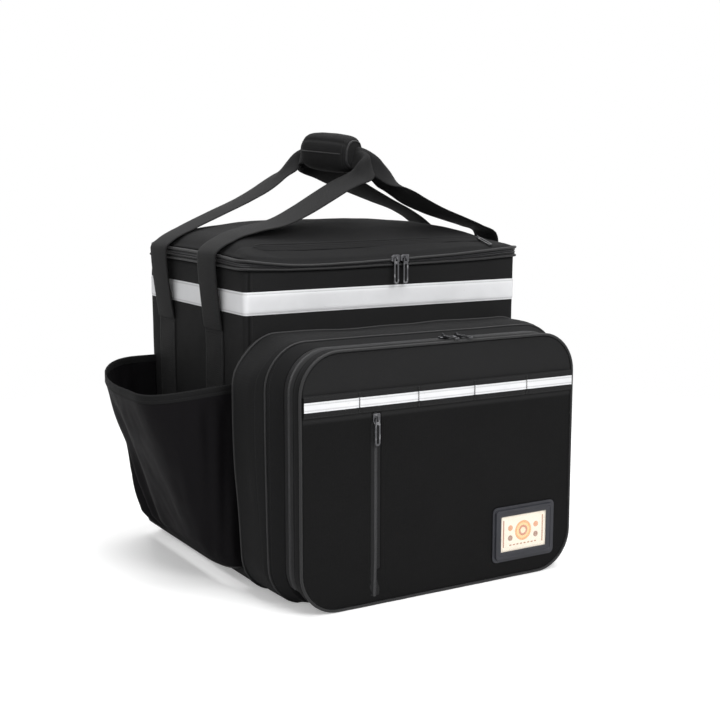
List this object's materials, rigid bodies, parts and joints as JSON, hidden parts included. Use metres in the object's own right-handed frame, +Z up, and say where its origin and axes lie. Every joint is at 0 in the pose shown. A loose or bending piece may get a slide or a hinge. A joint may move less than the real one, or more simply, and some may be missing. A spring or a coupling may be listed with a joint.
{
  "type": "insulated delivery bag",
  "caption": "Insulated delivery bag with a domed zip lid, a fold-down zipped front compartment, open side cup pockets and two webbing handles joined by a grip.",
  "frame": {"origin": "middle of the bag's bounding box, on the ground it stands on", "axes": "+Z up, +X to the right of someone who looks at the front compartment, +Y from the front compartment towards the back"},
  "size_m": [0.5848, 0.406, 0.5148],
  "materials": {
    "black_oxford": "black coated polyester oxford with a fine plain weave",
    "pocket_cloth": "thinner black polyester with a slight sheen",
    "black_webbing": "black woven polypropylene webbing",
    "black_piping": "black cord bound in smooth tape",
    "zip_tape": "black woven zip tape with a nylon coil",
    "reflective_tape": "silver grey reflective tape",
    "insulating_foam": "white closed-cell polyethylene foam",
    "foil_lining": "aluminised film on a light fabric",
    "base_board": "black stiffening board",
    "zip_metal": "dark gunmetal plated zinc",
    "moulded_frame": "black soft PVC with moulded ridges",
    "printed_card": "cream card with a printed pattern",
    "clear_window": "clear flexible sheet"
  },
  "bodies": {
    "bag": {"body_shell": "black_oxford", "base_board": "base_board", "base_foam": "insulating_foam", "front_foam": "insulating_foam", "back_foam": "insulating_foam", "left_foam": "insulating_foam", "right_foam": "insulating_foam", "foil_liner": "foil_lining", "reflective_band": "reflective_tape", "rim_piping": "black_piping", "rim_zip_tape": "zip_tape", "lid_hinge_strip": "black_oxford", "gusset_rear": "black_oxford", "gusset_front": "black_oxford", "compartment_foam": "insulating_foam", "compartment_liner": "foil_lining", "compartment_zip_tape": "zip_tape", "flap_fold_strip": "black_oxford", "left_cup_pocket": "pocket_cloth", "right_cup_pocket": "pocket_cloth", "left_pocket_hem": "black_oxford", "right_pocket_hem": "black_oxford", "left_front_strap_base": "black_webbing", "left_rear_strap_base": "black_webbing", "right_front_strap_base": "black_webbing", "right_rear_strap_base": "black_webbing"},
    "lid": {"lid_panel": "black_oxford", "lid_foam": "insulating_foam", "lid_liner": "foil_lining", "lid_piping": "black_piping", "lid_zip_tape": "zip_tape", "lid_pocket_zip": "zip_tape"},
    "flap": {"flap_panel": "black_oxford", "flap_foam": "insulating_foam", "flap_liner": "foil_lining", "flap_piping": "black_piping", "flap_zip_tape": "zip_tape", "flap_pocket_lining": "pocket_cloth", "pocket_zip": "zip_tape", "front_webbing": "black_webbing", "front_reflective_tape": "reflective_tape", "card_frame": "moulded_frame", "card_window": "clear_window", "id_card": "printed_card"},
    "left_handle": {"left_strap": "black_webbing", "grip_wrap": "black_oxford"},
    "right_handle": {"right_strap": "black_webbing"},
    "lid_slider_left": {"lid_slider_left": "zip_metal"},
    "lid_pull_left": {"lid_pull_left": "zip_metal"},
    "lid_slider_right": {"lid_slider_right": "zip_metal"},
    "lid_pull_right": {"lid_pull_right": "zip_metal"},
    "compartment_slider_left": {"compartment_slider_left": "zip_metal"},
    "compartment_pull_left": {"compartment_pull_left": "zip_metal"},
    "compartment_slider_right": {"compartment_slider_right": "zip_metal"},
    "compartment_pull_right": {"compartment_pull_right": "zip_metal"},
    "pocket_slider": {"pocket_slider": "zip_metal"},
    "pocket_pull": {"pocket_pull": "zip_metal"},
    "lid_pocket_slider": {"lid_pocket_slider": "zip_metal"},
    "lid_pocket_pull": {"lid_pocket_pull": "zip_metal"}
  },
  "joints": [
    {"name": "lid_hinge", "type": "hinge", "parent": "bag", "child": "lid", "pos_m": [0, 0.20148, 0.36675], "axis": [-1, 0, 0], "range_deg": [0, 115]},
    {"name": "flap_hinge", "type": "hinge", "parent": "bag", "child": "flap", "pos_m": [0, -0.19722, 0.0055], "axis": [1, 0, 0], "range_deg": [0, 86]},
    {"name": "left_handle_swing", "type": "hinge", "parent": "bag", "child": "left_handle", "pos_m": [-0.1872, 0.05768, 0.288], "axis": [0, -1, 0], "range_deg": [0, 144], "deforming": ["left_strap"]},
    {"name": "right_handle_swing", "type": "hinge", "parent": "bag", "child": "right_handle", "pos_m": [0.1872, 0.05768, 0.288], "axis": [0, 1, 0], "range_deg": [0, 144], "deforming": ["right_strap"]},
    {"name": "lid_slide_left", "type": "slide", "parent": "bag", "child": "lid_slider_left", "axis": [1, 0, 0], "range_m": [-0.172, 0]},
    {"name": "lid_pull_swing_left", "type": "hinge", "parent": "lid_slider_left", "child": "lid_pull_left", "pos_m": [0.0072, -0.08527, 0.36675], "axis": [-1, 0, 0], "range_deg": [0, 150]},
    {"name": "lid_slide_right", "type": "slide", "parent": "bag", "child": "lid_slider_right", "axis": [1, 0, 0], "range_m": [0, 0.145]},
    {"name": "lid_pull_swing_right", "type": "hinge", "parent": "lid_slider_right", "child": "lid_pull_right", "pos_m": [0.02, -0.08527, 0.36675], "axis": [-1, 0, 0], "range_deg": [0, 150]},
    {"name": "compartment_slide_left", "type": "slide", "parent": "flap", "child": "compartment_slider_left", "axis": [1, 0, 0], "range_m": [-0.139, 0]},
    {"name": "compartment_pull_swing_left", "type": "hinge", "parent": "compartment_slider_left", "child": "compartment_pull_left", "pos_m": [0.0145, -0.17157, 0.28595], "axis": [-1, 0, 0], "range_deg": [0, 120]},
    {"name": "compartment_slide_right", "type": "slide", "parent": "flap", "child": "compartment_slider_right", "axis": [1, 0, 0], "range_m": [0, 0.092]},
    {"name": "compartment_pull_swing_right", "type": "hinge", "parent": "compartment_slider_right", "child": "compartment_pull_right", "pos_m": [0.0325, -0.17157, 0.28595], "axis": [-1, 0, 0], "range_deg": [0, 120]},
    {"name": "pocket_slide", "type": "slide", "parent": "flap", "child": "pocket_slider", "axis": [0, 0, 1], "range_m": [-0.177, 0]},
    {"name": "pocket_pull_swing", "type": "hinge", "parent": "pocket_slider", "child": "pocket_pull", "pos_m": [-0.0886, -0.20037, 0.2068], "axis": [-1, 0, 0], "range_deg": [0, 150]},
    {"name": "lid_pocket_slide", "type": "slide", "parent": "lid", "child": "lid_pocket_slider", "axis": [1, 0, 0], "range_m": [-0.3, 0]},
    {"name": "lid_pocket_pull_swing", "type": "hinge", "parent": "lid_pocket_slider", "child": "lid_pocket_pull", "pos_m": [0.15, -0.04719, 0.3862], "axis": [-1, 0, 0], "range_deg": [0, 120]}
  ],
  "couplings": [
    {"joint": "left_handle_swing", "follows": "lid_hinge", "ratio": 1.25},
    {"joint": "right_handle_swing", "follows": "lid_hinge", "ratio": 1.25}
  ]
}
